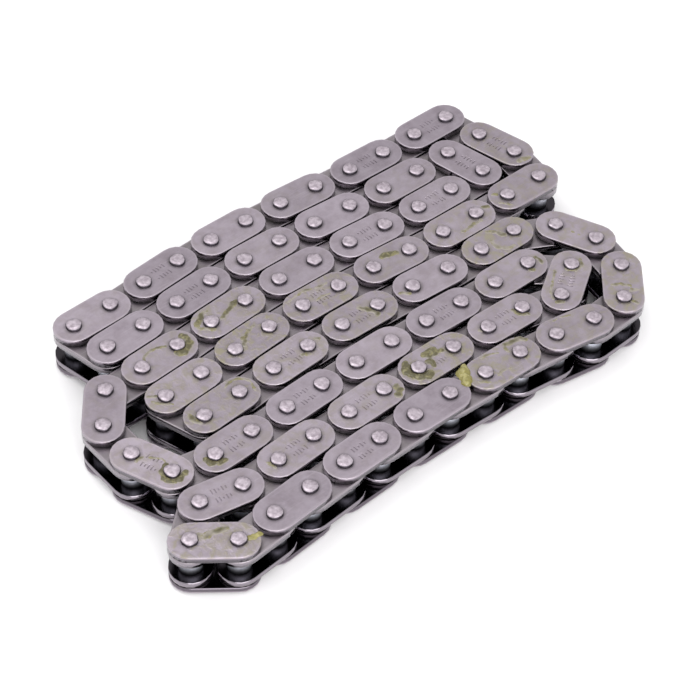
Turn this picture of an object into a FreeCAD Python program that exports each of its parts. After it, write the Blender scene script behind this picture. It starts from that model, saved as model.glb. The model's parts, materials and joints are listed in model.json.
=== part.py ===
import FreeCAD, Part
import math
import os
import Sketcher
from FreeCAD import Placement, Rotation, Vector

# An endless bush chain of a hundred links, laid flat on its side in eight rows that nest in each other.
# +X runs along the rows, +Y from the front row to the back row, +Z up along the pins. The origin is at
# the middle of the loop's outline, on the surface that the lower pin ends stand on.
# Rows are numbered from the back. Every second link is an inner link, of two plates and two bushes,
# and the others are outer links, of two plates and two pins.

doc = FreeCAD.newDocument("LaidChain")

driving_sizes = [
    ("pitch", 6.35, "mm from one pin to the next"),
    ("plate_end_gap", 0.40, "mm between the round ends of plates that follow each other in one layer"),
    ("plate_thickness", 1.04, "mm, all four plates of a pair of links"),
    ("edge_round", 0.12, "mm radius of a plate's outward edge, left by the punch"),
    ("inner_width", 3.18, "mm between the two inner plates"),
    ("side_clearance", 0.09, "mm between an inner plate and the outer plate next to it"),
    ("pin_diameter", 2.31, "mm, also the hole in an outer plate, where the pin is pressed in"),
    ("running_clearance", 0.03, "mm between pin and bush, on the radius"),
    ("bush_wall", 0.465, "mm wall of the bush, which is pressed into the inner plates"),
    ("head_height", 0.47, "mm that a pin end stands out of its outer plate"),
    ("head_bevel", 0.20, "mm bevel round a staked pin end"),
    ("arch_centre", -0.55, "pitches from the middle of the rows to the crest of their arch"),
    ("arch_reach", 4.80, "pitches from the crest to where the rows are straight again"),
]
sheet = doc.addObject("Spreadsheet::Sheet", "Sizes")
for number, (alias, value, meaning) in enumerate(driving_sizes, 1):
    sheet.set("A%d" % number, alias)
    sheet.set("B%d" % number, str(value))
    sheet.set("C%d" % number, meaning)
    sheet.setAlias("B%d" % number, alias)
doc.recompute()


def size(alias):
    return float(sheet.get(alias))


pitch = size("pitch")
plate_thickness = size("plate_thickness")
plate_width = pitch - size("plate_end_gap")

# The same relations as expressions, for the sketches and pads.
PLATE_RADIUS = "(Sizes.pitch - Sizes.plate_end_gap) / 2"
PIN_RADIUS = "Sizes.pin_diameter / 2"
BORE_RADIUS = PIN_RADIUS + " + Sizes.running_clearance"
BUSH_RADIUS = BORE_RADIUS + " + Sizes.bush_wall"
BUSH_LENGTH = "Sizes.inner_width + 2 * Sizes.plate_thickness"
OUTER_FACES = BUSH_LENGTH + " + 2 * Sizes.side_clearance + 2 * Sizes.plate_thickness"
PIN_LENGTH = OUTER_FACES + " + 2 * Sizes.head_height"
STUB_LENGTH = "Sizes.plate_thickness + Sizes.head_height"

# Heights of the layers above the surface that the chain lies on.
lower_outer = size("head_height")
lower_inner = lower_outer + plate_thickness + size("side_clearance")
upper_inner = lower_inner + plate_thickness + size("inner_width")
upper_outer = upper_inner + plate_thickness + size("side_clearance")


# ---- How the loop is laid ----

# The gap between each row and the next, as a share of the plates' end gap, and how high each row arches
# in the middle, in millimetres. Only a gap of less than one share can be bridged by a single link.
row_gap_shares = [0.75, 0.6, 0.6, 0.4, 0.6, 0.55, 1.5]
row_arches = [1.4, 1.45, 1.45, 1.5, 1.3, 0.8, 0.8, 1.2]


def row_line(row, x):
    """Y of a row's line at x, with row 1, at the back, starting at zero."""
    ahead = sum(plate_width + share * size("plate_end_gap") for share in row_gap_shares[:row - 1])
    along = (x / pitch - size("arch_centre")) / size("arch_reach")
    if abs(along) > 1:
        return -ahead
    return 0.5 * row_arches[row - 1] * (1 + math.cos(math.pi * along)) - ahead


def lay_on_row(pins, row, way, fronts):
    """Lay pins a pitch apart along a row, to the right for a way of +1 and to the left for -1.

    Fronts holds, for each pin, how far it lies in front of the row's line.
    """
    for front in fronts:
        start = pins[-1]
        near, far = 0.0, pitch
        while far - near > 1e-9:
            step = (near + far) / 2
            x = start.x + way * step
            pin = Vector(x, row_line(row, x) - front, 0)
            if (pin - start).Length < pitch:
                near = step
            else:
                far = step
        pins.append(pin)


def lay_towards(pins, *headings):
    """Lay one link along each heading, in degrees from +X."""
    for heading in headings:
        angle = math.radians(heading)
        pins.append(pins[-1] + Vector(math.cos(angle), math.sin(angle), 0) * pitch)


def lay_last_pin(pins):
    """Lay the pin that closes the loop, a pitch from the last pin and from the first, on the left."""
    across = pins[0] - pins[-1]
    outwards = Vector(-across.y, across.x, 0).normalize()
    rise = math.sqrt(pitch ** 2 - (across.Length / 2) ** 2)
    pins.append(pins[-1] + across / 2 + outwards * rise)


pins = [Vector(-5.5 * pitch, row_line(3, -5.5 * pitch), 0)]
lay_on_row(pins, 3, +1, [0] * 11)
lay_on_row(pins, 2, -1, [0] * 11)
lay_on_row(pins, 1, -1, [0])
lay_on_row(pins, 1, +1, [0.15, 0.05] + [0] * 9)
lay_on_row(pins, 2, +1, [-0.05])
lay_on_row(pins, 3, +1, [-0.1])
lay_on_row(pins, 4, -1, [0] * 12)
lay_on_row(pins, 5, +1, [0] * 10)
strand_start = len(pins) - 1
lay_towards(pins, -28, -65, -99)
lay_on_row(pins, 8, -1, [0.9, 1.2, 0.25, -0.2, 0, 0, 0, -0.1, -0.25, -0.2, 0, 0.4])
lay_towards(pins, 142)
open_pivot = len(pins) - 1
lay_on_row(pins, 7, +1, [-1.1, 0.15, 0, -0.1, 0, 0, 0, -0.1, -0.1, -0.1, 1.5])
lay_towards(pins, 33)
lay_on_row(pins, 6, -1, [0] * 10 + [-1.3])
lay_on_row(pins, 5, -1, [-1.0])
lay_last_pin(pins)

middle = Vector(min(pin.x for pin in pins) + max(pin.x for pin in pins),
                min(pin.y for pin in pins) + max(pin.y for pin in pins), 0) / 2
pins = [pin - middle for pin in pins]
link_count = len(pins)


def link_ends(link):
    return pins[link], pins[(link + 1) % link_count]


for link in range(link_count):
    first, last = link_ends(link)
    if abs((last - first).Length - pitch) > 1e-6:
        raise ValueError("link %d is not one pitch long" % link)


def is_inner(link):
    return link % 2 == 0


# ---- The shapes of the pieces ----

def new_body(name):
    body = doc.addObject("PartDesign::Body", name)
    body.Label = name
    return body


def flat_sketch(body):
    """A sketch on the body's own XY plane."""
    sketch = body.newObject("Sketcher::SketchObject", "Outline")
    plane = next(item for item in body.Origin.OriginFeatures if item.Role == "XY_Plane")
    sketch.AttachmentSupport = (plane, [""])
    sketch.MapMode = "FlatFace"
    return sketch


def add_circle(sketch, centre, along, name, expression):
    """A circle with a bound radius, at a distance along X, round a point named by geometry and end."""
    circle = sketch.addGeometry(Part.Circle(Vector(along, 0, 0), Vector(0, 0, 1), 1.0), False)
    sketch.addConstraint(Sketcher.Constraint("Coincident", circle, 3, *centre))
    radius = sketch.addConstraint(Sketcher.Constraint("Radius", circle, 1.0))
    sketch.renameConstraint(radius, name)
    sketch.setExpression("Constraints." + name, expression)


def add_pad(body, sketch, expression):
    pad = body.newObject("PartDesign::Pad", "Thickness")
    pad.Profile = sketch
    pad.setExpression("Length", expression)
    doc.recompute()
    return pad


def edge_names(shape, wanted):
    """The names of the edges of a shape that the test picks out."""
    return ["Edge%d" % number for number, edge in enumerate(shape.Edges, 1) if wanted(edge)]


def make_plate(name, hole_radius):
    """A plate from its first pin at the origin to its last at +X, its outward face up."""
    body = new_body(name)
    sketch = flat_sketch(body)
    radius = plate_width / 2
    quarter = math.pi / 2
    upward = Vector(0, 0, 1)
    rear, left, front, right = sketch.addGeometry([
        Part.LineSegment(Vector(0, radius, 0), Vector(pitch, radius, 0)),
        Part.ArcOfCircle(Part.Circle(Vector(0, 0, 0), upward, radius), quarter, 3 * quarter),
        Part.LineSegment(Vector(0, -radius, 0), Vector(pitch, -radius, 0)),
        Part.ArcOfCircle(Part.Circle(Vector(pitch, 0, 0), upward, radius), -quarter, quarter),
    ], False)
    start, end, centre, x_axis, origin = 1, 2, 3, -1, (-1, 1)
    sketch.addConstraint([
        Sketcher.Constraint("Tangent", rear, start, left, start),
        Sketcher.Constraint("Tangent", left, end, front, start),
        Sketcher.Constraint("Tangent", front, end, right, start),
        Sketcher.Constraint("Tangent", right, end, rear, end),
        Sketcher.Constraint("Horizontal", rear),
        Sketcher.Constraint("Coincident", left, centre, *origin),
        Sketcher.Constraint("PointOnObject", right, centre, x_axis),
    ])
    spacing = sketch.addConstraint(Sketcher.Constraint("Distance", left, centre, right, centre, pitch))
    sketch.renameConstraint(spacing, "Pitch")
    sketch.setExpression("Constraints.Pitch", "Sizes.pitch")
    round_end = sketch.addConstraint(Sketcher.Constraint("Radius", left, radius))
    sketch.renameConstraint(round_end, "EndRadius")
    sketch.setExpression("Constraints.EndRadius", PLATE_RADIUS)
    add_circle(sketch, (left, centre), 0, "FirstHole", hole_radius)
    add_circle(sketch, (right, centre), pitch, "LastHole", hole_radius)
    pad = add_pad(body, sketch, "Sizes.plate_thickness")
    outward = max(pad.Shape.Faces, key=lambda face: face.CenterOfMass.z)
    rim = outward.OuterWire.Edges
    fillet = body.newObject("PartDesign::Fillet", "PunchedEdge")
    fillet.Base = (pad, edge_names(pad.Shape, lambda edge: any(edge.isSame(other) for other in rim)))
    fillet.setExpression("Radius", "Sizes.edge_round")
    return body


def make_round(name, radius, length, bore=None, bevelled=()):
    """A pin or a bush standing at the origin, with its ends bevelled at the heights that are named."""
    body = new_body(name)
    sketch = flat_sketch(body)
    add_circle(sketch, (-1, 1), 0, "Radius", radius)
    if bore:
        add_circle(sketch, (-1, 1), 0, "Bore", bore)
    pad = add_pad(body, sketch, length)
    if bevelled:
        box = pad.Shape.BoundBox
        heights = [{"bottom": box.ZMin, "top": box.ZMax}[end] for end in bevelled]

        def at_bevelled_end(edge):
            span = edge.BoundBox
            return any(abs(span.ZMin - z) + abs(span.ZMax - z) < 1e-3 for z in heights)

        chamfer = body.newObject("PartDesign::Chamfer", "StakedEnd")
        chamfer.Base = (pad, edge_names(pad.Shape, at_bevelled_end))
        chamfer.setExpression("Size", "Sizes.head_bevel")
    return body


# Pattern pieces, one of each kind, for the pieces that share a node.
outer_plate = make_plate("pattern_outer_plate", PIN_RADIUS)
inner_plate = make_plate("pattern_inner_plate", BUSH_RADIUS)
pin = make_round("pattern_pin", PIN_RADIUS, PIN_LENGTH, bevelled=("bottom", "top"))
pin_stub = make_round("pattern_pin_stub", PIN_RADIUS, STUB_LENGTH, bevelled=("top",))
bush = make_round("pattern_bush", BUSH_RADIUS, BUSH_LENGTH, bore=BORE_RADIUS)
doc.recompute()


# ---- Where the pieces go ----

def plate_place(link, height, face_down=False):
    """The place of a link's plate whose lower face is at this height."""
    first, last = link_ends(link)
    turn = Rotation(Vector(1, 0, 0), last - first)
    if face_down:
        return Placement(first + Vector(0, 0, height + plate_thickness), turn * Rotation(Vector(1, 0, 0), 180))
    return Placement(first + Vector(0, 0, height), turn)


def upright_place(at, height, upside_down=False):
    turn = Rotation(Vector(1, 0, 0), 180) if upside_down else Rotation()
    return Placement(at + Vector(0, 0, height), turn)


def placed(pattern, place):
    shape = pattern.Shape.copy()
    shape.Placement = place
    return shape


def bush_shapes(link):
    return [placed(bush, upright_place(at, lower_inner)) for at in link_ends(link)]


def pin_shapes(link):
    """An outer link's two pins. At the open pivot only the two ends that sit in the plates are kept."""
    shapes = []
    for at in link_ends(link):
        if at == pins[open_pivot]:
            shapes.append(placed(pin_stub, upright_place(at, upper_outer)))
            shapes.append(placed(pin_stub, upright_place(at, lower_outer + plate_thickness, True)))
        else:
            shapes.append(placed(pin, upright_place(at, 0)))
    return shapes


sub_parts = []


def add_group(name, shapes):
    """One node of separate solids."""
    group = doc.addObject("Part::Feature", name)
    group.Label = name
    group.Shape = Part.makeCompound(shapes)
    group.Placement = Placement()
    sub_parts.append(group)


def add_link(name, link):
    """A link of the loose strand: each plate its own node, and its two bushes or pins one node."""
    if is_inner(link):
        kind, hole, heights = "inner", BUSH_RADIUS, (lower_inner, upper_inner)
        add_group(name + "_bushes", bush_shapes(link))
    else:
        kind, hole, heights = "outer", PIN_RADIUS, (lower_outer, upper_outer)
        add_group(name + "_pins", pin_shapes(link))
    for layer, height in zip(("lower", "upper"), heights):
        plate = make_plate("%s_%s_%s_plate" % (name, layer, kind), hole)
        plate.Placement = plate_place(link, height, face_down=(layer == "lower"))
        sub_parts.append(plate)


# The loose strand runs from the last pin of row 5 round the right-hand turn and along row 8 to the open
# pivot. The front link is the inner link on the other side of the open pivot.
strand = range(strand_start, open_pivot)
laid = [link for link in range(link_count) if link not in strand and link != open_pivot]
laid_inner = [link for link in laid if is_inner(link)]
laid_outer = [link for link in laid if not is_inner(link)]

add_group("laid_lower_outer_plates",
          [placed(outer_plate, plate_place(link, lower_outer, face_down=True)) for link in laid_outer])
add_group("laid_lower_inner_plates",
          [placed(inner_plate, plate_place(link, lower_inner, face_down=True)) for link in laid_inner])
add_group("laid_bushes", [shape for link in laid_inner for shape in bush_shapes(link)])
add_group("laid_pins", [shape for link in laid_outer for shape in pin_shapes(link)])
add_group("laid_upper_inner_plates",
          [placed(inner_plate, plate_place(link, upper_inner)) for link in laid_inner])
add_group("laid_upper_outer_plates",
          [placed(outer_plate, plate_place(link, upper_outer)) for link in laid_outer])
for number, link in enumerate(strand, 1):
    add_link("link_%02d" % number, link)
add_link("front_link", open_pivot)
doc.recompute()


# ---- Checks and files ----

for item in doc.Objects:
    if "Invalid" in item.State or "Error" in item.State:
        raise RuntimeError("%s failed: %s" % (item.Label, item.State))
for item in sub_parts:
    if item.Shape.isNull() or not item.Shape.isValid():
        raise RuntimeError("%s has no valid shape" % item.Label)

os.makedirs("parts", exist_ok=True)
for item in sub_parts:
    item.Shape.exportStep("parts/%s.step" % item.Label)
print("%d links, %d nodes, %d solids" % (link_count, len(sub_parts),
                                         sum(len(item.Shape.Solids) for item in sub_parts)))
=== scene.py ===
import json
import math
import random

import bmesh
import bpy
from mathutils import Matrix, Vector, noise

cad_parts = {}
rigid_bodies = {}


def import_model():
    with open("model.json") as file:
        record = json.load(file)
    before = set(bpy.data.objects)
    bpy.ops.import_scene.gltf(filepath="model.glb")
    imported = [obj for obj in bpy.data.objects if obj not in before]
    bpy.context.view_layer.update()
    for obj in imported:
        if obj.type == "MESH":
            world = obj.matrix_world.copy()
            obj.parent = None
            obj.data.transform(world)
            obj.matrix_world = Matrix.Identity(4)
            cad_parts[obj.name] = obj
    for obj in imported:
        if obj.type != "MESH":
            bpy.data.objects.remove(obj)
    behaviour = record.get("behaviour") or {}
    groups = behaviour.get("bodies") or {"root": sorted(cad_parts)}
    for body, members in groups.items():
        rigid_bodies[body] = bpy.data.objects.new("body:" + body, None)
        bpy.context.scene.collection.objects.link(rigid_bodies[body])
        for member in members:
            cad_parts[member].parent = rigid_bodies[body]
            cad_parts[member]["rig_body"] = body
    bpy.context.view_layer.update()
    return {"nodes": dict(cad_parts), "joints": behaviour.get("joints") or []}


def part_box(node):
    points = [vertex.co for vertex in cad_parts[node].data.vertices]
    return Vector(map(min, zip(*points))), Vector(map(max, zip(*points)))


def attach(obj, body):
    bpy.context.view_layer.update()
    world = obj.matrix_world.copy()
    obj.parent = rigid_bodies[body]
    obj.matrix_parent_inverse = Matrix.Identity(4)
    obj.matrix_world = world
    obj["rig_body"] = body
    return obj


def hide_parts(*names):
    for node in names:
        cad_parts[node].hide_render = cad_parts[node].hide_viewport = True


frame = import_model()
scene = bpy.context.scene
mm = 0.001
tiny = 0.001 * mm        # points closer than this are the same point
print("frame loaded:", len(frame["nodes"]), "nodes")


# How the chain lies, read from the frame.

strandNames = ["link_%02d" % number for number in range(1, 17)] + ["front_link"]


# The middle of each separate solid of a CAD node, seen from above.
def solidMiddles(node):
    bm = bmesh.new()
    bm.from_mesh(frame["nodes"][node].data)
    bmesh.ops.remove_doubles(bm, verts=bm.verts, dist=tiny)
    bm.verts.index_update()
    middles = []
    seen = set()
    for start in bm.verts:
        if start.index in seen:
            continue
        island = []
        waiting = [start]
        while waiting:
            vert = waiting.pop()
            if vert.index in seen:
                continue
            seen.add(vert.index)
            island.append(vert.co)
            waiting += [edge.other_vert(vert) for edge in vert.link_edges]
        xs = [co.x for co in island]
        ys = [co.y for co in island]
        middles.append(Vector((min(xs) + max(xs), min(ys) + max(ys))) / 2)
    bm.free()
    return middles


# The two pivots of every link, walking round the loop from link_01. Even links are inner links.
def walkLoop():
    pivots = []
    for node in sorted(frame["nodes"]):
        if node.endswith("pins"):
            for middle in solidMiddles(node):
                if all((middle - pivot).length > 0.1 * mm for pivot in pivots):
                    pivots.append(middle)
    plateNodes = [node for node in sorted(frame["nodes"]) if "_upper_" in node]
    plateNodes.sort(key=lambda node: not node.startswith("link_01"))
    left = []
    for node in plateNodes:
        for middle in solidMiddles(node):
            nearest = sorted(range(len(pivots)), key=lambda n: (pivots[n] - middle).length)
            left.append(nearest[:2])
    hinge = next(joint for joint in frame["joints"] if joint["name"] == "link_01_hinge")
    hingeAt = Vector(hinge["pos_m"][:2])
    here = min(range(len(pivots)), key=lambda n: (pivots[n] - hingeAt).length)
    walked = []
    while left:
        pair = next(pair for pair in left if here in pair)
        left.remove(pair)
        there = pair[1] if pair[0] == here else pair[0]
        walked.append((pivots[here], pivots[there]))
        here = there
    return walked


links = walkLoop()
pitch = (links[0][1] - links[0][0]).length


# The links whose pieces a node holds.
def linksOf(node):
    if node.startswith("laid"):
        inner = "inner" in node or "bush" in node
        return [link for link in range(len(strandNames), len(links)) if (link % 2 == 0) == inner]
    return [link for link, name in enumerate(strandNames) if node.startswith(name + "_")]


# How far a strand node reaches past its link's pivots, which is the radius of its round ends.
def reach(node):
    ends = links[linksOf(node)[0]]
    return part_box(node)[1].x - max(ends[0].x, ends[1].x)


plateRadius = reach("link_01_upper_inner_plate")
bushRadius = reach("link_01_bushes")
pinRadius = reach("link_02_pins")
plateLow, plateHigh = (corner.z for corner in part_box("link_02_upper_outer_plate"))
plateThickness = plateHigh - plateLow
print("loop walked:", len(links), "links of", round(pitch / mm, 3), "mm")


# Help with meshes.

# The least radius of a many-sided hole that a round of this radius still passes through.
def holeRound(radius, sides):
    return radius / math.cos(math.pi / sides)


def everything(bm):
    return bm.verts[:] + bm.edges[:] + bm.faces[:]


def vertsOf(items):
    return [item for item in items if isinstance(item, bmesh.types.BMVert)]


def bevelEdges(bm, edges, width, steps):
    bmesh.ops.bevel(bm, geom=edges, offset=width * mm, offset_type="OFFSET", affect="EDGES",
                    segments=steps, profile=0.5, clamp_overlap=True, material=-1)


def meshFrom(bm, name):
    bmesh.ops.recalc_face_normals(bm, faces=bm.faces)
    mesh = bpy.data.meshes.new(name)
    bm.to_mesh(mesh)
    bm.free()
    return mesh


def addObject(name, data):
    made = bpy.data.objects.new(name, data)
    scene.collection.objects.link(made)
    return made


# The mesh that an object has once its modifiers have worked.
def finishedMesh(item):
    bpy.context.view_layer.update()
    return bpy.data.meshes.new_from_object(item.evaluated_get(bpy.context.evaluated_depsgraph_get()))


# Copies of pattern meshes, each at its place, as one piece that stands for a CAD node.
# A copy is (pattern, place, values), where values are written on its vertices for the material to read.
def makePiece(node, copies, material):
    bm = bmesh.new()
    for pattern, place, values in copies:
        before = len(bm.verts)
        bm.from_mesh(pattern)
        bm.verts.ensure_lookup_table()
        bmesh.ops.transform(bm, matrix=place, verts=bm.verts[before:])
        for name, value in values.items():
            layer = bm.verts.layers.float.get(name) or bm.verts.layers.float.new(name)
            bm.verts.ensure_lookup_table()
            for vert in bm.verts[before:]:
                vert[layer] = value
    mesh = bpy.data.meshes.new(node + "_finished")
    bm.to_mesh(mesh)
    bm.free()
    mesh.materials.append(material)
    piece = addObject(node + "_finished", mesh)
    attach(piece, frame["nodes"][node]["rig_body"])
    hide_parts(node)


# Upright at a pivot, and turned at random.
def atPivot(pivot, chance):
    turn = Matrix.Rotation(chance.uniform(0, math.tau), 4, "Z")
    return Matrix.Translation((pivot.x, pivot.y, 0)) @ turn


# Help with materials.

def linear(hexColour):
    parts = [int(hexColour[at:at + 2], 16) / 255 for at in (1, 3, 5)]
    return [part / 12.92 if part <= 0.04045 else ((part + 0.055) / 1.055) ** 2.4 for part in parts] + [1.0]


# Adds a node: values go on its own sockets, wires join other nodes' outputs to it, options are its settings.
def addNode(tree, kind, values={}, wires={}, **options):
    node = tree.nodes.new("ShaderNode" + kind)
    for option, value in options.items():
        setattr(node, option, value)
    for socket, value in values.items():
        node.inputs[socket].default_value = value
    for socket, output in wires.items():
        tree.links.new(output, node.inputs[socket])
    return node


# A new material with its Principled shader and the position on the object, in metres.
def startMaterial(name, shader):
    material = bpy.data.materials.new(name)
    material.use_nodes = True
    tree = material.node_tree
    tree.nodes.clear()
    surface = addNode(tree, "BsdfPrincipled", shader)
    addNode(tree, "OutputMaterial", wires={"Surface": surface.outputs[0]})
    position = addNode(tree, "TexCoord").outputs["Object"]
    return material, tree, surface, position


# Noise scale for features of this size in millimetres, on coordinates in metres.
def perMetre(size):
    return 1 / (size * mm)


# Noise with features of this size in millimetres.
def patchesOf(tree, position, size, detail, roughness=0.5, distortion=0.0):
    values = {"Scale": perMetre(size), "Detail": detail, "Roughness": roughness, "Distortion": distortion}
    return addNode(tree, "TexNoise", values, {"Vector": position}).outputs["Fac"]


# A straight slope from low to high as the input goes from start to end.
def slope(tree, value, start, end, low=0.0, high=1.0, **options):
    values = {"From Min": start, "From Max": end, "To Min": low, "To Max": high}
    return addNode(tree, "MapRange", values, {"Value": value}, **options).outputs[0]


# The same, starting and ending gently.
def softSlope(tree, value, start, end, low=0.0, high=1.0):
    return slope(tree, value, start, end, low, high, interpolation_type="SMOOTHSTEP")


# Maths on an output and either another output or a plain number.
def maths(tree, operation, first, second=0.0):
    if isinstance(second, float):
        return addNode(tree, "Math", {1: second}, {0: first}, operation=operation).outputs[0]
    return addNode(tree, "Math", wires={0: first, 1: second}, operation=operation).outputs[0]


# Two hex colours, mixed by a share.
def mixTwo(tree, share, first, second):
    values = {6: linear(first), 7: linear(second)}
    return addNode(tree, "Mix", values, {0: share}, data_type="RGBA").outputs[2]


# A hex colour laid over what is there, by a share.
def tint(tree, share, under, over):
    return addNode(tree, "Mix", {7: linear(over)}, {0: share, 6: under}, data_type="RGBA").outputs[2]


# A value moved towards a plain number, by a share.
def towards(tree, share, under, number):
    return addNode(tree, "Mix", {3: number}, {0: share, 2: under}, data_type="FLOAT").outputs[0]


# Bumps of this height in millimetres, added to any that come before them.
def relief(tree, pattern, height, before=None):
    wires = {"Height": pattern, "Normal": before} if before else {"Height": pattern}
    return addNode(tree, "Bump", {"Strength": 1.0, "Distance": height * mm}, wires).outputs[0]


# Grease.

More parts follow.
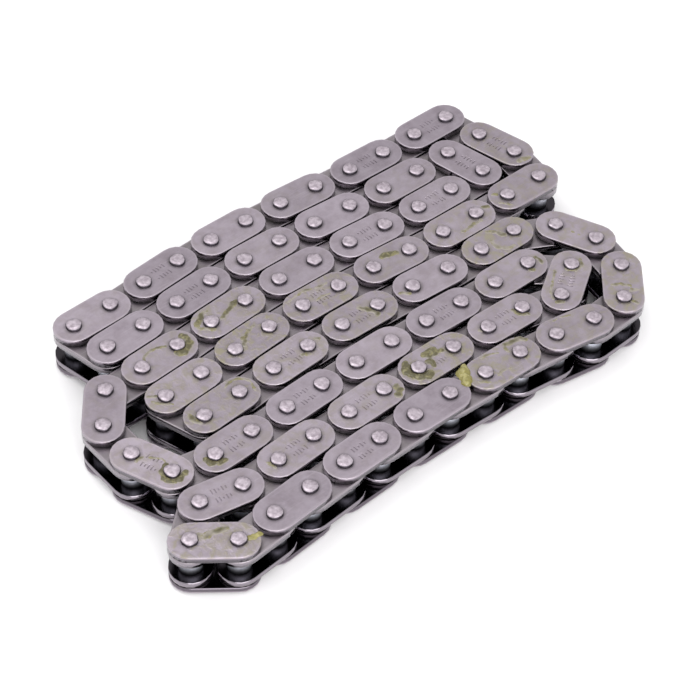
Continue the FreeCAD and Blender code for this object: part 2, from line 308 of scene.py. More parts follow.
# Smears are (link, width, height, route), in millimetres. A route is in the link's own directions: along
# it towards +X and across it towards +Y, from its middle. Films are shares by which plates are smeared thin.
grease = {
    "smears": [
        (45, 0.45, 0.12, [(-5.2, 0.9), (-4.5, 1.2), (-2.8, 2.2), (-2.2, 2.0)]),
        (45, 0.40, 0.10, [(-5.2, 0.3), (-4.6, -0.4), (-3.7, -1.4)]),
        (45, 0.50, 0.16, [(2.2, 0.7), (1.4, 0.6), (0.6, 0.3)]),
        (45, 0.38, 0.12, [(0.6, 0.3), (-0.2, 0.0), (-1.6, -0.4)]),
        (87, 0.36, 0.12, [(-1.1, 1.0), (-1.0, 0.3), (-1.7, -0.2)]),
        (87, 0.32, 0.10, [(-0.6, 0.7), (0.3, 1.4), (1.8, 1.7)]),
        (85, 0.26, 0.05, [(-4.4, 1.9), (-1.4, 2.3), (0.7, 1.6), (2.2, 1.5)]),
        (85, 0.24, 0.05, [(-1.3, -0.3), (0.2, -0.2), (1.3, -0.4)]),
        (95, 0.46, 0.10, [(0.7, 1.2), (1.4, 0.6), (1.7, -0.4), (2.2, -1.4)]),
        (93, 0.36, 0.10, [(4.9, 0.5), (5.4, 0.0)]),
        (93, 0.32, 0.09, [(1.4, -0.6), (2.5, -1.3)]),
        (91, 0.24, 0.06, [(2.2, 1.9), (3.4, 2.4), (4.9, 2.0), (5.6, 0.6), (5.0, -1.2)]),
        (91, 0.50, 0.10, [(-4.6, 1.5), (-4.7, 0.6), (-4.4, -0.6)]),
        (83, 0.60, 0.16, [(-0.7, 1.2), (0.2, 1.1), (1.1, 0.8)]),
        (97, 0.36, 0.08, [(-5.5, 0.0), (-4.4, -0.9)]),
        (21, 0.55, 0.14, [(4.7, -0.4), (4.9, -1.4), (4.2, -1.9)]),
        (29, 0.32, 0.12, [(4.7, 0.4), (5.0, -0.5), (4.8, -1.4)]),
        (29, 0.36, 0.14, [(2.7, -1.3), (3.2, -1.6)]),
        (27, 0.34, 0.10, [(2.0, 0.6), (2.3, -0.9), (3.4, -1.5), (4.6, -0.9)]),
        (27, 0.24, 0.07, [(1.2, 2.0), (-1.2, 1.8), (-3.2, 1.6), (-4.4, 0.9)]),
        (27, 0.34, 0.14, [(-4.7, 0.3), (-4.4, -0.7)]),
        (3, 0.30, 0.08, [(-0.9, 1.7), (-0.6, 0.3), (-0.9, -1.0)]),
        (3, 0.36, 0.10, [(-1.8, -1.0), (-1.6, -2.1)]),
        (3, 0.34, 0.10, [(-3.9, -1.2), (-4.3, -1.9)]),
        (25, 0.34, 0.12, [(1.8, 0.4), (2.0, -0.8), (3.1, -1.4)]),
        (25, 0.28, 0.09, [(-4.6, 0.4), (-4.4, -0.1)]),
        (5, 0.18, 0.04, [(-2.2, 2.4), (-0.9, 2.5), (0.6, 2.2)]),
        (7, 0.42, 0.12, [(2.4, 2.3), (3.8, 2.1), (5.0, 1.9), (5.4, 1.2)]),
        (7, 0.24, 0.06, [(2.0, 2.0), (1.9, 1.0)]),
        (7, 0.22, 0.05, [(-1.9, 2.5), (-0.8, 2.4), (0.7, 1.7)]),
        (7, 0.24, 0.06, [(-2.0, -1.4), (-0.9, -1.1), (0.3, -1.5)]),
        (7, 0.30, 0.06, [(-5.0, -0.7), (-3.8, -1.7)]),
        (23, 0.62, 0.26, [(-4.2, 1.8), (-4.8, 0.8), (-4.8, -0.4), (-4.3, -1.4), (-3.2, -1.8), (-2.4, -1.9)]),
        (23, 0.46, 0.22, [(-1.5, 0.3), (-1.0, -0.2), (-1.2, -1.0)]),
        (23, 0.60, 0.20, [(-1.1, 1.4), (-0.3, 1.7), (0.6, 1.4), (0.2, 0.7), (-0.6, 0.9)]),
        (23, 0.40, 0.16, [(0.4, 0.9), (1.5, 0.5)]),
        (15, 0.50, 0.07, [(-1.8, 0.9), (-1.0, 0.8), (-0.3, 1.2), (0.6, 1.5), (1.5, 1.6)]),
        (43, 0.62, 0.20, [(4.7, 0.9), (4.9, -0.2), (4.3, -1.1), (3.1, -1.5), (2.2, -1.2)]),
        (43, 0.28, 0.10, [(1.8, 0.9), (0.7, 1.5), (-0.6, 1.7), (-1.7, 1.3), (-2.1, 0.9)]),
        (89, 0.26, 0.08, [(-5.0, 1.6), (-4.3, 0.9)]),
        (89, 0.24, 0.08, [(-5.2, 0.6), (-4.6, -0.6), (-3.4, -1.7)]),
        (77, 0.50, 0.06, [(4.8, -1.3), (5.2, -0.6), (5.6, 0.3)]),
        (79, 0.30, 0.08, [(-5.0, 1.4), (-4.4, 1.2)]),
        (79, 0.26, 0.06, [(-5.3, -0.5), (-4.1, -1.9)]),
        (81, 0.34, 0.10, [(4.8, 0.4), (5.5, 0.1)]),
        (81, 0.34, 0.08, [(2.8, -1.5), (1.5, -1.4), (0.2, -1.8), (-0.9, -1.5)]),
        (99, 0.44, 0.08, [(0.0, 2.3), (0.8, 1.5), (1.5, 0.2)]),
        (99, 0.36, 0.08, [(-0.8, 0.4), (-1.1, -1.0), (0.0, -2.2), (1.2, -2.3)]),
        (1, 0.26, 0.05, [(-0.4, -0.3), (0.7, -0.4)]),
        (39, 0.44, 0.18, [(1.9, 0.6), (1.9, -0.7), (2.8, -1.6), (4.0, -1.5), (4.7, -0.6), (4.7, 0.8)]),
        (39, 0.30, 0.10, [(-2.0, -1.0), (-1.6, 0.2)]),
        (39, 0.20, 0.05, [(-0.8, 0.6), (0.7, 1.2), (1.5, 1.1)]),
        (37, 0.46, 0.18, [(-4.7, 0.3), (-4.6, -0.8), (-3.8, -1.5), (-2.8, -1.6)]),
        (19, 0.30, 0.08, [(-4.6, 0.6), (-4.4, -0.8)]),
    ],
    # Fresh grease, still thick and yellow-green.
    "lumps": [
        (15, 0.42, 0.24, [(4.6, 0.2), (5.3, 0.4), (6.0, 0.9)]),
        (7, 0.70, 0.50, [(-5.0, 2.5), (-5.4, 1.7), (-6.0, 0.9), (-6.5, 0.2)]),
        (7, 0.55, 0.40, [(-5.9, 2.0), (-6.4, 1.0)]),
    ],
    "films": {45: 0.7, 87: 1.0, 85: 0.8, 95: 0.6, 93: 0.6, 91: 0.7, 83: 0.4, 21: 0.4, 29: 0.4, 27: 0.5,
              3: 0.9, 25: 0.3, 5: 0.5, 7: 0.9, 23: 1.0, 15: 0.8, 43: 0.4, 89: 0.7, 77: 0.5, 79: 0.5,
              81: 0.5, 99: 0.9, 1: 0.6, 39: 0.4, 37: 0.3, 19: 0.4},
    "blobStep": 0.35,        # share of the width from one blob to the next
    "blobWidth": 1.15,       # a blob's radius, as a share of the width
    "narrowest": 0.6,        # a blob's shorter radius, as a share of the longer one
    "jitter": 0.22,          # share of the width that blobs stray from the route
    "uneven": 0.3,           # share by which blobs differ in size
    "sunk": 0.4,             # share of a blob's height that lies under the plate's face
    "cutBelow": 0.02,        # mm under the plate's face where the smears end
    "grain": 0.075,          # mm, the finest shape that the smears keep
    "smoothing": 8,          # rounds
    "ripple": 0.10,          # mm
    "rippleSize": 0.8,
}

# Lithium grease that picked up metal dust: olive and translucent where thin, glossy, with soft folds.
oldGrease = {
    "thin": "#8f8880",
    "thick": "#504b33",
    "light": "#77714f",
    "heights": (0.01, 0.14), # mm over the plate's face, from thin to thick
    "clots": (0.5, 0.66),    # the noise from no light clots to full ones
    "clotDetail": 4.0,
    "clotTwist": 0.6,
    "roughness": 0.22,
    "refraction": 1.47,
    "folds": 0.7,            # mm
    "foldHeight": 0.06,
}

# The same grease before it took up dust: thicker, yellow-green and glossier.
freshGrease = dict(oldGrease, thin="#837d55", thick="#7c7540", light="#9c9563", roughness=0.18,
                   folds=0.8, foldHeight=0.12)


def makeGrease(name, look):
    shader = {"Metallic": 0.0, "Roughness": look["roughness"], "IOR": look["refraction"]}
    material, tree, surface, position = startMaterial(name, shader)
    height = addNode(tree, "SeparateXYZ", wires={0: position}).outputs["Z"]
    thickness = softSlope(tree, height, *(plateHigh + each * mm for each in look["heights"]))
    clots = patchesOf(tree, position, look["folds"], look["clotDetail"], distortion=look["clotTwist"])
    colour = mixTwo(tree, thickness, look["thin"], look["thick"])
    colour = tint(tree, slope(tree, clots, *look["clots"]), colour, look["light"])
    tree.links.new(colour, surface.inputs["Base Color"])
    tree.links.new(relief(tree, clots, look["foldHeight"]), surface.inputs["Normal"])
    return material


# A place on top of a link: along and across it in millimetres from its middle.
def onLink(link, along, across):
    first, last = links[link]
    forward = (last - first).normalized()
    if forward.x < 0:
        forward = -forward
    leftward = Vector((-forward.y, forward.x))
    place = (first + last) / 2 + (along * forward + across * leftward) * mm
    return Vector((place.x, place.y, plateHigh))


# One smear as a row of flat blobs, each a little off the route and turned its own way.
def addBlobs(bm, chance, link, width, height, route):
    for start, end in zip(route, route[1:]):
        count = max(1, round(math.dist(start, end) / (width * grease["blobStep"])))
        stray = grease["jitter"] * width
        for number in range(count + 1):
            share = number / count
            along = start[0] + (end[0] - start[0]) * share + chance.uniform(-stray, stray)
            across = start[1] + (end[1] - start[1]) * share + chance.uniform(-stray, stray)
            swell = 1 + chance.uniform(-grease["uneven"], grease["uneven"])
            wide = grease["blobWidth"] * width * swell * mm
            high = height * swell * mm / (1 - grease["sunk"])
            size = Matrix.Diagonal((wide, wide, high, 1))
            turn = Matrix.Rotation(chance.uniform(0, math.pi), 4, "Z")
            stretch = Matrix.Diagonal((1.0, chance.uniform(grease["narrowest"], 1.0), 1.0, 1.0))
            middle = onLink(link, along, across) - Vector((0, 0, grease["sunk"] * high))
            place = Matrix.Translation(middle) @ turn @ stretch @ size
            bmesh.ops.create_icosphere(bm, subdivisions=2, radius=1, matrix=place)


# The blobs of some smears, melted into one skin and cut level with the plate under them.
def greasePiece(name, smears, material, body, seed):
    chance = random.Random(seed)
    bm = bmesh.new()
    for smear in smears:
        addBlobs(bm, chance, *smear)
    blobs = addObject(name + "_blobs", meshFrom(bm, name + "_blobs"))
    melt = blobs.modifiers.new("melt", "REMESH")
    melt.mode = "VOXEL"
    melt.voxel_size = grease["grain"] * mm
    skin = finishedMesh(blobs)
    bpy.data.objects.remove(blobs)
    bm = bmesh.new()
    bm.from_mesh(skin)
    for vert in bm.verts:
        ripple = noise.noise(vert.co / (grease["rippleSize"] * mm))
        vert.co += vert.normal * ripple * grease["ripple"] * mm
    for _ in range(grease["smoothing"]):
        bmesh.ops.smooth_vert(bm, verts=bm.verts, factor=0.5, use_axis_x=True, use_axis_y=True,
                              use_axis_z=True)
    level = (0, 0, plateHigh - grease["cutBelow"] * mm)
    cut = bmesh.ops.bisect_plane(bm, geom=everything(bm), dist=tiny, plane_co=level, plane_no=(0, 0, 1),
                                 clear_inner=True)
    cutEdges = [item for item in cut["geom_cut"] if isinstance(item, bmesh.types.BMEdge)]
    bmesh.ops.holes_fill(bm, edges=cutEdges, sides=0)
    for face in bm.faces:
        face.smooth = abs(face.normal.z) < 0.9999
    piece = addObject(name, meshFrom(bm, name))
    piece.data.materials.append(material)
    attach(piece, body)


# Grease rides on the body of the link that it lies on.
def spreadGrease(kind, smears, material):
    bodies = {}
    for smear in smears:
        link = smear[0]
        body = strandNames[link] if link < len(strandNames) else "laid_rows"
        bodies.setdefault(body, []).append(smear)
    for number, body in enumerate(sorted(bodies)):
        greasePiece(kind + "_" + body, bodies[body], material, body, number)


spreadGrease("grease", grease["smears"], makeGrease("oldLithiumGrease", oldGrease))
spreadGrease("fresh_grease", grease["lumps"], makeGrease("freshLithiumGrease", freshGrease))
print("grease spread")


# Plates.

plates = {
    "endSteps": 10,          # flat sides round each end
    "holeRoom": 0.004,       # mm more than the round that goes through a hole
    "rimRound": 0.12,        # mm, the punched edge
    "rimSteps": 2,
    "strokeDepth": 0.10,     # mm, the stamped strokes
    "strokeWidth": 0.19,
    "strokeLengths": [0.85, 0.55, 0.85, 0.4, 0.85],
    "strokeStep": 0.52,      # mm from one stroke to the next
    "strokeRows": [0.78, -0.78],
    "stampedShare": 0.45,    # of the outer plates
    "turnedShare": 0.5,      # of all plates
    "faintFilm": 0.2,        # the most film on outer plates that have no smear
    "innerFilm": 0.12,
}

# Tumbled carbon steel: punched blanks, tumbled with stone chips and oiled. It gives the eye a grey satin
# with a mauve cast, cloudy oil marks, fine scratches, and brighter rims: partly bare metal rubbed by
# tumbling, partly a painted highlight along the edge.
# Depth is 0 on the outward face and 1 on the inward one. Pairs are where a change starts and ends.
tumbledSteel = {
    "colour": "#a99fa9",
    "cloudColour": "#938992",
    "rimWearAndHighlightColour": "#c6bdc6",
    "dirtAndShadeColour": "#5f5a5e",
    "wallColour": "#aaa2ab",
    "footShadeColour": "#6e676f",
    # Painted shade: the inward face, which looks into the dark gap between the plates.
    "insideShadeColour": "#3c393d",
    "filmColour": "#8d8674",
    "tones": (0.88, 1.10),   # brightness of the darkest and the lightest plate
    "cloudSize": 2.4,        # mm
    "clouds": (0.32, 0.68),
    "grainSize": 0.13,       # mm, the pits left by the chips, drawn twice as coarse so that they show
    "grainHeight": 0.009,
    "scratchLength": 3.0,
    "scratchThin": 16,       # times longer than wide
    "scratchTurn": 0.5,      # radians
    "scratches": (0.60, 0.68),
    "scratchShare": 0.14,
    "filmSize": 1.2,
    "filmHeight": 0.04,
    "films": (0.38, 0.72),
    "filmRoughness": 0.28,
    "filmMetal": 0.4,
    "ringWidth": 0.6,        # mm, the painted contact shadow and dirt round each pin
    "rim": (0.42, 0.04),     # mm in from the plate's edge
    "rimShare": 0.6,
    "stampEdge": (0.5, 0.45),
    "stampDepths": (0.05, 0.09),
    "stampShare": 0.35,
    "topDepths": (0.12, 0.2),
    "wallDepths": (0.15, 0.4),
    "footShadeDepths": (0.16, 0.36),  # painted shade: the wall darkens towards its foot, under the plate's edge
    "insideDepths": (0.985, 1.0),
    "roughness": 0.38,
    "satin": (-0.05, 0.12),  # added to the roughness between the clouds and on them
    "wallRoughness": 0.13,
    "insideRoughness": 0.14,
}

# The same blanks inside the chain, where the oil stays: darker on top, with clean bright walls.
oiledSteel = dict(tumbledSteel, colour="#918a90", cloudColour="#7e777a", dirtAndShadeColour="#5b5850",
                  wallColour="#b8b0b9", footShadeColour="#8f8890", roughness=0.30)


# The material reads the plate's own map: u along and v across the plate, in millimetres from its middle.
def makePlateSteel(name, look):
    shader = {"Metallic": 1.0, "Roughness": look["roughness"]}
    material, tree, surface, position = startMaterial(name, shader)
    flat = addNode(tree, "UVMap", uv_map="plateMap").outputs["UV"]
    split = addNode(tree, "SeparateXYZ", wires={0: flat})

    def written(attribute):
        return addNode(tree, "Attribute", attribute_name=attribute).outputs["Fac"]

    def distance(along):
        arm = addNode(tree, "CombineXYZ", wires={"X": along, "Y": split.outputs["Y"]}).outputs[0]
        return addNode(tree, "VectorMath", wires={0: arm}, operation="LENGTH").outputs["Value"]

    # Where on the plate.
    pastPivot = maths(tree, "SUBTRACT", maths(tree, "ABSOLUTE", split.outputs["X"]), pitch / mm / 2)
    fromSpine = distance(maths(tree, "MAXIMUM", pastPivot, 0.0))
    fromPivot = distance(pastPivot)
    depth = written("depth")
    onTop = slope(tree, depth, *look["topDepths"], 1.0, 0.0)
    onWall = softSlope(tree, depth, *look["wallDepths"])
    inFootShade = softSlope(tree, depth, *look["footShadeDepths"])
    inwards = slope(tree, depth, *look["insideDepths"])

    # What lies on it.
    clouds = patchesOf(tree, position, look["cloudSize"], 4.0, 0.62)
    narrow = {"Rotation": (0, 0, look["scratchTurn"]), "Scale": (1, look["scratchThin"], 1)}
    stretched = addNode(tree, "Mapping", narrow, {"Vector": position}).outputs[0]
    scratches = softSlope(tree, patchesOf(tree, stretched, look["scratchLength"], 3.0), *look["scratches"])
    filmSpread = softSlope(tree, patchesOf(tree, position, look["filmSize"], 3.0, 0.6, 0.5), *look["films"])
    filmMask = maths(tree, "MULTIPLY", maths(tree, "MULTIPLY", filmSpread, written("film")), onTop)
    # Partly a painted contact shadow and partly dirt: darker close to each pin, in patches.
    pinShadowAndDirt = softSlope(tree, fromPivot, pinRadius / mm, pinRadius / mm + look["ringWidth"], 1.0, 0.0)
    rimEnds = [plateRadius / mm - each for each in look["rim"]]
    # The band along the rim is partly bare metal rubbed by tumbling and partly a painted highlight along the
    # edge.
    rubbedAndHighlit = maths(tree, "MULTIPLY", softSlope(tree, fromSpine, *rimEnds, 0.0, look["rimShare"]), clouds)
    wornAndHighlit = maths(tree, "MAXIMUM", rubbedAndHighlit, maths(tree, "MULTIPLY", scratches, look["scratchShare"]))
    wornAndHighlit = maths(tree, "MULTIPLY", wornAndHighlit, onTop)
    # Painted shade: the sunk floors of the stamped strokes are darker, as in a recess.
    stampEnds = [plateRadius / mm - each for each in look["stampEdge"]]
    stamp = slope(tree, depth, *look["stampDepths"], 0.0, look["stampShare"])
    stamp = maths(tree, "MULTIPLY", stamp, slope(tree, fromSpine, *stampEnds, 1.0, 0.0))
    stamp = maths(tree, "MULTIPLY", stamp, onTop)

    colour = mixTwo(tree, slope(tree, clouds, *look["clouds"]), look["colour"], look["cloudColour"])
    brightness = slope(tree, written("tone"), 0.0, 1.0, *look["tones"])
    colour = addNode(tree, "HueSaturation", wires={"Color": colour, "Value": brightness}).outputs[0]
    colour = tint(tree, maths(tree, "MULTIPLY", pinShadowAndDirt, clouds), colour, look["dirtAndShadeColour"])
    # Painted shade: the wall turns darker towards its foot, next to the gap between the plates.
    wallTint = mixTwo(tree, inFootShade, look["wallColour"], look["footShadeColour"])
    colour = addNode(tree, "Mix", wires={0: onWall, 6: colour, 7: wallTint}, data_type="RGBA").outputs[2]
    colour = tint(tree, wornAndHighlit, colour, look["rimWearAndHighlightColour"])
    colour = tint(tree, stamp, colour, look["dirtAndShadeColour"])
    colour = tint(tree, filmMask, colour, look["filmColour"])
    # Painted shade on the inward face.
    colour = tint(tree, inwards, colour, look["insideShadeColour"])
    tree.links.new(colour, surface.inputs["Base Color"])

    roughness = slope(tree, clouds, 0.3, 0.7, *(look["roughness"] + each for each in look["satin"]))
    roughness = towards(tree, onWall, roughness, look["wallRoughness"])
    roughness = towards(tree, inwards, roughness, look["insideRoughness"])
    roughness = towards(tree, filmMask, roughness, look["filmRoughness"])
    tree.links.new(roughness, surface.inputs["Roughness"])
    metal = slope(tree, filmMask, 0.0, 1.0, 1.0, look["filmMetal"])
    tree.links.new(metal, surface.inputs["Metallic"])

    pits = relief(tree, patchesOf(tree, position, look["grainSize"], 2.0), look["grainHeight"])
    tree.links.new(relief(tree, filmMask, look["filmHeight"], pits), surface.inputs["Normal"])
    return material


# The solid between the two round ends, with a hole for a round of this radius at each pivot.
# It stands on its inward face, with the middle of the plate at the origin.
def platePattern(name, roundRadius, stamp=None):
    bm = bmesh.new()
    steps = plates["endSteps"]
    half = pitch / 2
    hole = holeRound(roundRadius, 2 * steps) + plates["holeRoom"] * mm
    halfTurn = {"cent": (half, 0, 0), "axis": (0, 0, 1), "angle": math.pi, "steps": steps, "use_merge": False}
    near = bm.verts.new((half, -hole, 0))
    far = bm.verts.new((half, -plateRadius, 0))
    edge = bm.edges.new((near, far))
    bmesh.ops.spin(bm, geom=[near, far, edge], **halfTurn)
    bmesh.ops.dissolve_faces(bm, faces=bm.faces[:])
    bmesh.ops.spin(bm, geom=[bm.verts.new((half, hole, 0))], **halfTurn)
    bmesh.ops.remove_doubles(bm, verts=bm.verts, dist=tiny)
    mirrored = bmesh.ops.duplicate(bm, geom=everything(bm))["geom"]
    bmesh.ops.rotate(bm, verts=vertsOf(mirrored), cent=(0, 0, 0), matrix=Matrix.Rotation(math.pi, 3, "Z"))
    corners = {}
    for vert in bm.verts:
        if abs(abs(vert.co.x) - half) < tiny and abs(vert.co.y) > 0.99 * plateRadius:
            corners[vert.co.x > 0, vert.co.y > 0] = vert
    for side in (True, False):
        bm.edges.new((corners[True, side], corners[False, side]))
    middle = [edge for edge in bm.edges if all(abs(vert.co.x) < half + tiny for vert in edge.verts)]
    bmesh.ops.contextual_create(bm, geom=middle)
    bmesh.ops.recalc_face_normals(bm, faces=bm.faces)
    lifted = vertsOf(bmesh.ops.extrude_face_region(bm, geom=bm.faces[:])["geom"])
    bmesh.ops.translate(bm, vec=(0, 0, plateThickness), verts=lifted)
    bmesh.ops.recalc_face_normals(bm, faces=bm.faces)

    def onOutwardRim(vert):
        pastEnd = max(abs(vert.co.x) - half, 0)
        return math.hypot(pastEnd, vert.co.y) > 0.99 * plateRadius and vert.co.z > 0.9 * plateThickness

    rim = [edge for edge in bm.edges if all(onOutwardRim(vert) for vert in edge.verts)]
    bevelEdges(bm, rim, plates["rimRound"], plates["rimSteps"])
    mesh = meshFrom(bm, name)
    if stamp:
        mesh = stamped(mesh, stamp)
    bm = bmesh.new()
    bm.from_mesh(mesh)
    plateMap = bm.loops.layers.uv.new("plateMap")
    depth = bm.verts.layers.float.new("depth")
    for vert in bm.verts:
        vert[depth] = 1 - vert.co.z / plateThickness
    for face in bm.faces:
        face.smooth = abs(face.normal.z) < 0.99
        for loop in face.loops:
            loop[plateMap].uv = (loop.vert.co.x / mm, loop.vert.co.y / mm)
    bm.to_mesh(mesh)
    bm.free()
    return mesh


# Presses a plain pattern of short strokes and dots into the outward face.
def stamped(mesh, order):
    punch = bmesh.new()
    lengths = plates["strokeLengths"][order:] + plates["strokeLengths"][:order]
    for row in plates["strokeRows"]:
        for number, length in enumerate(lengths):
            along = (number - (len(lengths) - 1) / 2) * plates["strokeStep"] * mm
            at = Matrix.Translation((along, row * mm, plateThickness))
            size = (plates["strokeWidth"] * mm, length * mm, 2 * plates["strokeDepth"] * mm, 1)
            bmesh.ops.create_cube(punch, size=1, matrix=at @ Matrix.Diagonal(size))
    tool = addObject("punch", meshFrom(punch, "punch"))
    blank = addObject("blank", mesh)
    cut = blank.modifiers.new("stamp", "BOOLEAN")
    cut.object = tool
    cut.operation = "DIFFERENCE"
    cut.solver = "EXACT"
    pressed = finishedMesh(blank)
    for item in (tool, blank):
        bpy.data.objects.remove(item)
    return pressed


# Where a link's plate goes, on its inward face: upper plates face up and lower plates face down.
def platePlace(link, height, facesUp, turned):
    first, last = links[link]
    heading = math.atan2(last.y - first.y, last.x - first.x)
    middle = (first + last) / 2
    place = Matrix.Translation((middle.x, middle.y, height))
    place = place @ Matrix.Rotation(heading + (math.pi if turned else 0), 4, "Z")
    return place if facesUp else place @ Matrix.Rotation(math.pi, 4, "X")


outerPatterns = [platePattern("outerPlate", pinRadius)]
stampedPatterns = [platePattern("stampedPlate", pinRadius, order) for order in (1, 3)]
innerPattern = platePattern("innerPlate", bushRadius)
outerSteel = makePlateSteel("tumbledOuterSteel", tumbledSteel)
innerSteel = makePlateSteel("oiledInnerSteel", oiledSteel)
chance = random.Random(11)
for node in sorted(frame["nodes"]):
    if "plate" not in node:
        continue
    outer = "outer" in node
    facesUp = "_upper_" in node
    low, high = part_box(node)
    copies = []
    for link in linksOf(node):
        pattern = innerPattern
        if outer:
            hasStamp = chance.random() < plates["stampedShare"]
            pattern = chance.choice(stampedPatterns if hasStamp else outerPatterns)
        turned = chance.random() < plates["turnedShare"]
        place = platePlace(link, low.z if facesUp else high.z, facesUp, turned)
        film = plates["faintFilm"]
        if facesUp:
            film = grease["films"].get(link, chance.uniform(0.0, plates["faintFilm"]))
        if not outer:
            film = chance.uniform(0.0, plates["innerFilm"])
        copies.append((pattern, place, {"tone": chance.random(), "film": film}))
    makePiece(node, copies, outerSteel if outer else innerSteel)
print("plates made")


# Pins.

pins = {
    "sides": 16,
    "variants": 8,
    "headStart": 0.02,       # mm over the plate's face, where the straight shank ends
    "headRound": 0.12,       # mm, the rounded edge of a staked head
    "headSteps": 1,
    "domeWidth": 0.45,       # mm from the rounded edge to the middle of the dome
    "domeRise": 0.04,
    "lobes": (3, 5),         # fewest and most, round a head
    "spread": 0.06,          # share by which staking makes a head uneven
    "lumps": 0.5,            # of that share, from one corner to the next
    "lean": 0.03,            # mm
    "dent": 0.07,            # mm, in the middle of a head
    "dentedShare": 0.5,
    "tailRound": 0.2,
}

# Ground carbon steel with its end hammered over: pale, slightly warm, small dents and a dull sheen, and
# painted shade round the side, darker where the surface turns away from facing up.
stakedSteel = {
    "colour": "#c8bdc6",
    "shadeColour": "#9f949d",
    "sideShadeColour": "#565158",
    "patchSize": 0.55,       # mm
    "patches": (0.35, 0.65),
    "sides": (0.5, 0.95),    # painted shade: how level the surface is, from the shaded side to the top
    "dentSize": 0.42,        # mm
    "dentHeight": 0.022,
    "roughness": 0.4,
    "satin": (-0.08, 0.14),
}


def makeStakedSteel(look):
    material, tree, surface, position = startMaterial("stakedPinSteel", {"Metallic": 1.0})
    patches = patchesOf(tree, position, look["patchSize"], 4.0, 0.6)
    colour = mixTwo(tree, slope(tree, patches, *look["patches"]), look["colour"], look["shadeColour"])
    facing = addNode(tree, "NewGeometry").outputs["Normal"]
    level = maths(tree, "ABSOLUTE", addNode(tree, "SeparateXYZ", wires={0: facing}).outputs["Z"])
    # Painted shade: the side and the rounded edge darken as they turn away from facing up.
    colour = tint(tree, softSlope(tree, level, *look["sides"], 1.0, 0.0), colour, look["sideShadeColour"])
    tree.links.new(colour, surface.inputs["Base Color"])
    roughness = slope(tree, patches, 0.0, 1.0, *(look["roughness"] + each for each in look["satin"]))
    tree.links.new(roughness, surface.inputs["Roughness"])
    dents = patchesOf(tree, position, look["dentSize"], 2.0)
    tree.links.new(relief(tree, dents, look["dentHeight"]), surface.inputs["Normal"])
    return material


# A pin from its flat lower end to its staked head, or only a stretch of it at the open pivot.
def pinPattern(name, bottom, top, seed):
    chance = random.Random(seed)
    bm = bmesh.new()
    made = bmesh.ops.create_cone(bm, cap_ends=True, cap_tris=False, segments=pins["sides"],
                                 radius1=pinRadius, radius2=pinRadius, depth=top - bottom)
    bmesh.ops.translate(bm, vec=(0, 0, (top + bottom) / 2), verts=made["verts"])
    for end, width, steps in ((top, pins["headRound"], pins["headSteps"]), (bottom, pins["tailRound"], 1)):
        rim = [edge for edge in bm.edges if all(abs(vert.co.z - end) < tiny for vert in edge.verts)]
        bevelEdges(bm, rim, width, steps)
    cap = max(bm.faces, key=lambda face: face.calc_center_median().z)
    bmesh.ops.inset_region(bm, faces=[cap], thickness=pins["domeWidth"] * mm, depth=0, use_even_offset=True)
    centre = bmesh.ops.poke(bm, faces=[cap])["verts"][0]
    # The shank stays straight up to the plate's face, and only the head above it is uneven.
    headLow = plateHigh + pins["headStart"] * mm
    bmesh.ops.bisect_plane(bm, geom=everything(bm), dist=tiny, plane_co=(0, 0, headLow), plane_no=(0, 0, 1))
    lobes = chance.randint(*pins["lobes"])
    turn = chance.uniform(0, math.tau)
    tilt = Vector((chance.uniform(-1, 1), chance.uniform(-1, 1)))
    for vert in bm.verts:
        if vert.co.z < headLow + 10 * tiny or top < plateHigh:
            continue
        out = vert.co.to_2d().length / pinRadius
        angle = math.atan2(vert.co.y, vert.co.x)
        lump = chance.uniform(-pins["lumps"], pins["lumps"])
        swell = 1 + pins["spread"] * (math.cos(lobes * angle + turn) + lump)
        vert.co.x *= swell
        vert.co.y *= swell
        leaning = 1 - tilt.dot(vert.co.to_2d()) / pinRadius
        vert.co.z -= (pins["domeRise"] * out ** 2 + pins["lean"] * leaning) * mm
    if chance.random() < pins["dentedShare"]:
        centre.co.z -= pins["dent"] * mm
    for face in bm.faces:
        face.smooth = True
    return meshFrom(bm, name)


pinBottom, pinTop = (corner.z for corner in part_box("link_02_pins"))
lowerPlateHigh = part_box("link_02_lower_outer_plate")[1].z
pinSteel = makeStakedSteel(stakedSteel)
wholePins = [pinPattern("pin%d" % seed, pinBottom, pinTop, seed) for seed in range(pins["variants"])]
upperStub = pinPattern("upperStub", plateLow, pinTop, 20)
lowerStub = pinPattern("lowerStub", pinBottom, lowerPlateHigh, 21)
openPivot = links[strandNames.index("link_16")][1]
chance = random.Random(12)
for node in sorted(frame["nodes"]):
    if not node.endswith("pins"):
        continue
    copies = []
    for link in linksOf(node):
        for pivot in links[link]:
            place = atPivot(pivot, chance)
            patterns = [upperStub, lowerStub] if pivot == openPivot else [chance.choice(wholePins)]
            copies += [(pattern, place, {}) for pattern in patterns]
    makePiece(node, copies, pinSteel)
print("pins made")


# Bushes.

bushes = {
    "sides": 20,
    "clearance": 0.03,       # mm between pin and bush, on the radius
}

# Case-hardened steel, ground and then polished by the sprockets: smooth and bluish, with faint turning
# lines and a little oil. It looks dark mostly because it mirrors the dark insides of the plates, and its ends
# against the plates are painted darker as shade.
polishedSteel = {
    "colour": "#eff1fb",
    "oilColour": "#cccfda",
    "footShadeColour": "#3e3d42", # painted shade, darker against the plates
    "unshadedShare": 0.2,       # of the stretch between the plates, in its middle
    "lineStep": 0.08,        # mm between turning lines
    "lineHeight": 0.003,
    "lineLength": 20,        # times longer than their step
    "cloudSize": 1.6,
    "clouds": (0.45, 0.7),
    "roughness": 0.42,
    "satin": (-0.06, 0.16),
}
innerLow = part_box("link_01_lower_inner_plate")[1].z
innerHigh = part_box("link_01_upper_inner_plate")[0].z


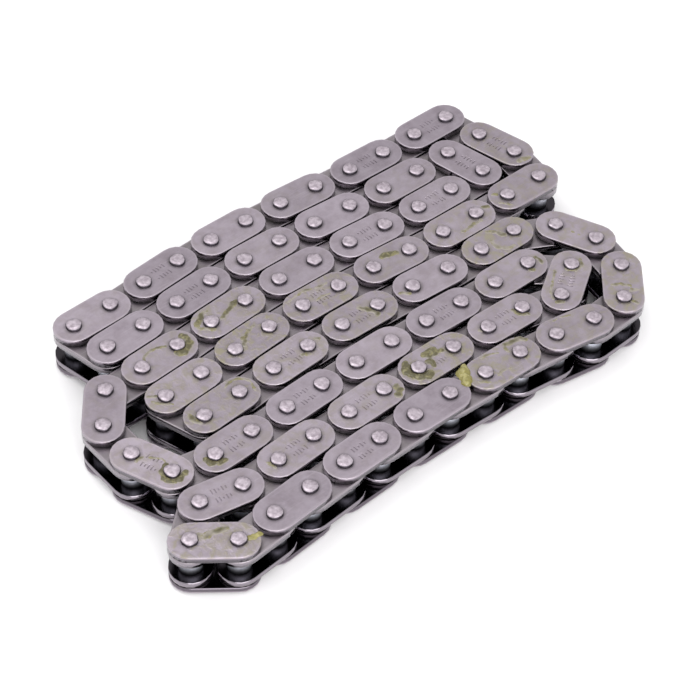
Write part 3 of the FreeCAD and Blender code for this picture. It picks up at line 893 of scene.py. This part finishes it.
def makePolishedSteel(look):
    material, tree, surface, position = startMaterial("polishedBushSteel", {"Metallic": 1.0})
    clouds = patchesOf(tree, position, look["cloudSize"], 4.0)
    colour = mixTwo(tree, slope(tree, clouds, *look["clouds"]), look["colour"], look["oilColour"])
    height = addNode(tree, "SeparateXYZ", wires={0: position}).outputs["Z"]
    offMiddle = maths(tree, "ABSOLUTE", maths(tree, "SUBTRACT", height, (innerLow + innerHigh) / 2))
    halfGap = (innerHigh - innerLow) / 2
    # Painted shade: darker towards each end, where the bush meets the plates.
    footShade = softSlope(tree, offMiddle, look["unshadedShare"] * halfGap, halfGap)
    colour = tint(tree, footShade, colour, look["footShadeColour"])
    tree.links.new(colour, surface.inputs["Base Color"])
    roughness = slope(tree, clouds, 0.0, 1.0, *(look["roughness"] + each for each in look["satin"]))
    tree.links.new(roughness, surface.inputs["Roughness"])
    long = {"Scale": (1 / look["lineLength"], 1 / look["lineLength"], 1)}
    stretched = addNode(tree, "Mapping", long, {"Vector": position}).outputs[0]
    lines = patchesOf(tree, stretched, look["lineStep"], 1.0)
    tree.links.new(relief(tree, lines, look["lineHeight"]), surface.inputs["Normal"])
    return material


def bushPattern(name, bottom, top):
    bm = bmesh.new()
    bore = holeRound(pinRadius + bushes["clearance"] * mm, bushes["sides"])
    corners = [bm.verts.new((radius, 0, z)) for radius, z in
               ((bore, bottom), (bushRadius, bottom), (bushRadius, top), (bore, top))]
    edges = [bm.edges.new((corners[at - 1], corners[at])) for at in range(4)]
    bmesh.ops.spin(bm, geom=corners + edges, cent=(0, 0, 0), axis=(0, 0, 1), angle=math.tau,
                   steps=bushes["sides"], use_merge=True)
    bmesh.ops.remove_doubles(bm, verts=bm.verts, dist=tiny)
    for face in bm.faces:
        face.smooth = abs(face.calc_center_median().z - (bottom + top) / 2) < 0.4 * (top - bottom)
    return meshFrom(bm, name)


bushSteel = makePolishedSteel(polishedSteel)
bush = bushPattern("bush", *(corner.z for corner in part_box("link_01_bushes")))
chance = random.Random(13)
for node in sorted(frame["nodes"]):
    if not node.endswith("bushes"):
        continue
    copies = []
    for link in linksOf(node):
        copies += [(bush, atPivot(pivot, chance), {}) for pivot in links[link]]
    makePiece(node, copies, bushSteel)
print("bushes made")


# Studio.

studio = {
    "floorSize": 6.0,        # m
    "floorColour": "#f6f5f6",
    "fibreColour": "#f1f0f1",
    "fibreSize": 4.0,        # mm
    "floorRoughness": 0.9,
    "skyColour": "#ffffff",
    "skyStrength": 1.0,
    "keyPower": 0.8,         # W
    "keySize": 0.4,          # m
    "keyFrom": (-0.10, 0.15, 0.50),
    "fillPower": 2.0,
    "fillSize": 0.5,
    "fillFrom": (-0.20, -0.40, 0.30),
}
camera = {
    "azimuth": -41.6,        # degrees
    "elevation": 47.7,
    "roll": 1.99,
    "distance": 318.0,       # mm
    "target": (-4.29, -6.35, 8.46),
    "lens": 117.64,
    "nearest": 10.0,         # mm, where the view starts
}


def makeFloor():
    bm = bmesh.new()
    bmesh.ops.create_grid(bm, x_segments=1, y_segments=1, size=studio["floorSize"] / 2)
    floor = addObject("floor", meshFrom(bm, "floor"))
    # Matt white paper: a faint unevenness and no shine.
    shader = {"Roughness": studio["floorRoughness"]}
    material, tree, surface, position = startMaterial("mattPaper", shader)
    fibres = patchesOf(tree, position, studio["fibreSize"], 3.0)
    colour = mixTwo(tree, fibres, studio["floorColour"], studio["fibreColour"])
    tree.links.new(colour, surface.inputs["Base Color"])
    floor.data.materials.append(material)


def makeLight(name, place, size, power):
    light = addObject(name, bpy.data.lights.new(name, "AREA"))
    light.data.shape = "SQUARE"
    light.data.size = size
    light.data.energy = power
    light.location = place
    light.rotation_euler = (-Vector(place)).to_track_quat("-Z", "Y").to_euler()


def makeCamera():
    azimuth, elevation, roll = (math.radians(camera[name]) for name in ("azimuth", "elevation", "roll"))
    forward = Vector((-math.cos(elevation) * math.sin(azimuth), math.cos(elevation) * math.cos(azimuth),
                      -math.sin(elevation)))
    level = forward.cross(Vector((0, 0, 1))).normalized()
    upward = level.cross(forward)
    right = math.cos(roll) * level + math.sin(roll) * upward
    up = -math.sin(roll) * level + math.cos(roll) * upward
    eye = addObject("camera", bpy.data.cameras.new("camera"))
    eye.data.lens = camera["lens"]
    eye.data.clip_start = camera["nearest"] * mm
    turn = Matrix((right, up, -forward)).transposed().to_4x4()
    place = (Vector(camera["target"]) - camera["distance"] * forward) * mm
    eye.matrix_world = Matrix.Translation(place) @ turn
    scene.camera = eye


def makeSky():
    world = bpy.data.worlds.new("studio")
    world.use_nodes = True
    sky = world.node_tree.nodes["Background"]
    sky.inputs["Color"].default_value = linear(studio["skyColour"])
    sky.inputs["Strength"].default_value = studio["skyStrength"]
    scene.world = world


makeFloor()
makeLight("key", studio["keyFrom"], studio["keySize"], studio["keyPower"])
makeLight("fill", studio["fillFrom"], studio["fillSize"], studio["fillPower"])
makeCamera()
makeSky()
scene.view_settings.view_transform = "Standard"
print("studio made")
